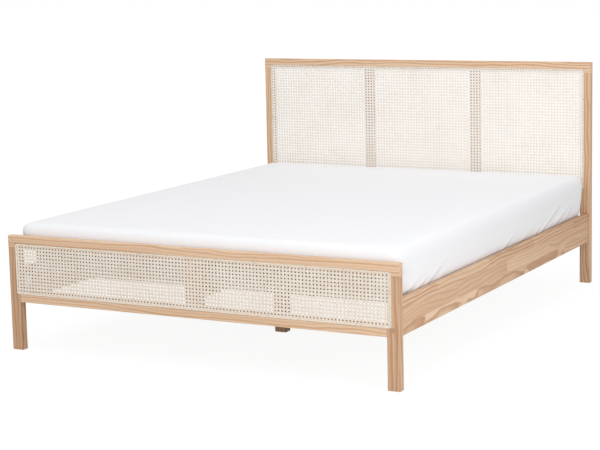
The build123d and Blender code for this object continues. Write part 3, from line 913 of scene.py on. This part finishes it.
def addRod(name, radius, low, high, sides, edge=0.0, segments=2):
    clearSelection()
    bpy.ops.mesh.primitive_cylinder_add(vertices=sides, radius=radius, depth=high - low,
                                        location=(0, 0, (low + high) / 2))
    rod = bpy.context.object
    rod.name = rod.data.name = name
    bpy.ops.object.transform_apply(location=True, rotation=True, scale=True)
    if edge:
        selectVerts(rod, lambda co: co.z > high - 1e-6)
        bpy.ops.mesh.bevel(offset=edge, segments=segments, affect="EDGES")
        objectMode()
    return rod


def makeScrew():
    top, long, short = fastener["headHeight"], fastener["crossLength"] / 2, fastener["crossWidth"] / 2
    head = addRod("screwHead", fastener["headRadius"], 0, top, 20, fastener["headRound"])
    for x, y in ((long, short), (short, long)):
        cutter = addBlock("cutter", (-x, -y, top - fastener["crossDepth"]), (x, y, top + 0.001))
        applyModifier(head, "BOOLEAN", operation="DIFFERENCE", object=cutter, solver="EXACT")
        removeAll([cutter])
    shank = addRod("screwShank", fastener["shankRadius"], -fastener["shankLength"], 0.0002, 10)
    return joinAll([head, shank], "screw")


def makeBolt():
    seat = fastener["washerHeight"]
    washer = addRod("washer", fastener["washerRadius"], 0, seat, 24, fastener["washerEdge"], 1)
    head = addRod("hexHead", fastener["hexRadius"], seat - 0.0001, seat + fastener["hexHeight"], 6,
                  fastener["hexEdge"], 1)
    shank = addRod("boltShank", fastener["boltRadius"], 0.0005 - fastener["boltLength"], 0.0005, 12)
    return joinAll([washer, head, shank], "bolt")


def scatter(master, name, places, replaced=()):
    # copies of one fastener: where it seats and the way its head looks
    copies = []
    for i, (place, way) in enumerate(places):
        pick(master)
        bpy.ops.object.duplicate()
        copy = bpy.context.object
        turn = Vector((0, 0, 1)).rotation_difference(Vector(way)).to_matrix().to_4x4()
        spin = Matrix.Rotation(fastener["turn"] * i, 4, "Z")
        copy.matrix_world = Matrix.Translation(place) @ turn @ spin
        bpy.ops.object.transform_apply(location=True, rotation=True, scale=True)
        copies.append(copy)
    finishPiece(joinAll(copies, name), "frame", zincPlate, replaced)


def atCorners(row):
    x, y, heights, way = cornerRows[row]
    return [((a * x, b * y, z), (a * way[0], b * way[1], way[2]))
            for a in (-1, 1) for b in (-1, 1) for z in heights]


ledgerPlaces = [((side * ledgerRow["x"], ledgerRow["first"] + ledgerRow["pitch"] * i, ledgerRow["z"]),
                 (-side, 0, 0)) for side in (-1, 1) for i in range(ledgerRow["count"])]
screw, bolt = makeScrew(), makeBolt()
scatter(screw, "bracketScrews", atCorners("bracketScrews"))
scatter(screw, "ledgerScrews", ledgerPlaces)
scatter(screw, "hangerScrews", atCorners("hangerScrews"))
scatter(screw, "slatScrews", atCorners("slatScrews"))
scatter(bolt, "hexBolts", atCorners("hexBolts"), ["bracket_bolts"])
removeAll((screw, bolt))
print("screws and bolts made")

# Woven tapes under the slats, sagging a little between them and held by staples
tape = {
    "rib": 0.0010,
    "tones": [(0.2, (0.66, 0.64, 0.60)), (0.8, (0.82, 0.81, 0.77))],
    "relief": (0.4, 0.0003),
    "cells": 162,
    "sag": 0.0012,
    "slatPitch": 0.140,
    "firstSlat": -0.910,
    "slatHalf": 0.035,
    "stapleWidth": 0.0110,
    "stapleWire": 0.0008,
    "stapleLeg": 0.006,
    "stapleSpread": 0.020,    # from a slat's middle to its staples
}
wovenTape, tapeTree, tapeShader = newMaterial("wovenTape", 0.9)
tapeParts = separate(tapeTree, objectCoordinates(tapeTree))
ribs, threads = [calc(tapeTree, "SINE", calc(tapeTree, "MULTIPLY", tapeParts[axis], 2 * math.pi / tape["rib"]))
                 for axis in "XY"]
tapeWeave = calc(tapeTree, "MULTIPLY_ADD", calc(tapeTree, "MULTIPLY", ribs, threads), 0.5, 0.5)
tapeTree.links.new(colourRamp(tapeTree, tapeWeave, tape["tones"]), tapeShader.inputs["Base Color"])
bump(tapeTree, tapeShader, tapeWeave, *tape["relief"])


def sagAt(y):
    # how far a tape hangs below the slats, none where one is above it
    pitch = tape["slatPitch"]
    off = abs((y - tape["firstSlat"] + pitch / 2) % pitch - pitch / 2)
    share = max(0, off - tape["slatHalf"]) / (pitch / 2 - tape["slatHalf"])
    return tape["sag"] * (1 - math.cos(math.pi * share)) / 2


def makeStaple(x, y, z):
    half, wire, leg = tape["stapleWidth"] / 2, tape["stapleWire"], tape["stapleLeg"]
    staple = [addBlock("stapleCrown", (x - half, y - wire / 2, z - wire), (x + half, y + wire / 2, z))]
    for legX in (x - half, x + half):
        staple.append(addBlock("stapleLeg", (legX - wire / 2, y - wire / 2, z - wire / 2),
                               (legX + wire / 2, y + wire / 2, z + leg)))
    for part in staple:
        applyModifier(part, "BEVEL", width=wire / 4, segments=1)
    return joinAll(staple, "staple")


for side in ("left", "right"):
    low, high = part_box("slat_tape_" + side)
    strap = addBlock("wovenTape" + side.capitalize(), low, high)
    for i in range(1, tape["cells"]):
        bisect(strap, (0, low.y + (high.y - low.y) * i / tape["cells"], 0), (0, 1, 0))
    for vertex in strap.data.vertices:
        vertex.co.z -= sagAt(vertex.co.y)
    finishPiece(strap, "frame", wovenTape, ["slat_tape_" + side])
    row = []
    for way in (-1, 1):
        staple = makeStaple((low.x + high.x) / 2, tape["firstSlat"] + way * tape["stapleSpread"], low.z)
        repeat(staple, (0, tape["slatPitch"], 0), slatCount, merge=False)
        row.append(staple)
    finishPiece(joinAll(row, "staples" + side.capitalize()), "frame", zincPlate)
print("tapes stapled")

low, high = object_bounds()
